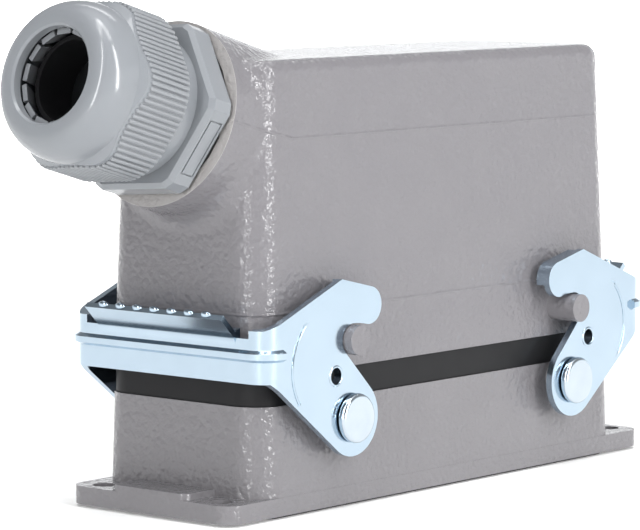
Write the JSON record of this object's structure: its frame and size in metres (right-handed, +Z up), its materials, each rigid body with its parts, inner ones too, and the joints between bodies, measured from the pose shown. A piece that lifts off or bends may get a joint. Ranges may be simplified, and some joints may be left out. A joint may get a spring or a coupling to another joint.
{
  "type": "heavy duty rectangular connector",
  "caption": "Closed rectangular multi-contact connector: cast panel base with screw feet, slanted side-entry hood, cable gland and two hooked locking levers.",
  "frame": {"origin": "centre of the four mounting holes, on the underside of the cast base; the free gasket stands 0.6 mm below it", "axes": "+X along the connector, away from the cable gland; +Y across it; +Z up out of the panel"},
  "size_m": [0.1683, 0.057, 0.1031],
  "materials": {
    "cast_grey": "fine powder coat over die-cast aluminium",
    "seal_black": "matte",
    "zinc_steel": "bright zinc plate",
    "bright_steel": "plain bright",
    "insert_grey": "moulded, fine grain",
    "contact_silver": "silver plated brass",
    "gland_grey": "semi-gloss moulded"
  },
  "bodies": {
    "housing": {"base_housing": "cast_grey", "hood": "cast_grey", "flange_gasket": "seal_black", "rim_seal": "seal_black", "pivot_rivets": "bright_steel", "female_insert": "insert_grey", "male_insert": "insert_grey", "female_contacts": "contact_silver", "male_contacts": "contact_silver", "female_earth_plates": "zinc_steel", "male_earth_plates": "zinc_steel", "female_earth_screws": "bright_steel", "male_earth_screws": "bright_steel", "female_insert_screws": "bright_steel", "male_insert_screws": "bright_steel", "gland_o_ring": "seal_black", "gland_body": "gland_grey", "clamp_cage": "gland_grey", "gland_seal": "seal_black"},
    "left_lever": {"lever_left": "zinc_steel"},
    "right_lever": {"lever_right": "zinc_steel"},
    "gland_nut": {"dome_nut": "gland_grey"}
  },
  "joints": [
    {"name": "left_lever_pivot", "type": "hinge", "parent": "housing", "child": "left_lever", "pos_m": [-0.0372, 0, 0.0183], "axis": [0, -1, 0], "range_deg": [0, 45]},
    {"name": "right_lever_pivot", "type": "hinge", "parent": "housing", "child": "right_lever", "pos_m": [0.0372, 0, 0.0183], "axis": [0, 1, 0], "range_deg": [0, 45]},
    {"name": "dome_nut_turn", "type": "hinge", "parent": "housing", "child": "gland_nut", "pos_m": [-0.0642, 0, 0.0794], "axis": [-0.9617, 0, 0.274], "range_deg": [0, 1920]}
  ]
}
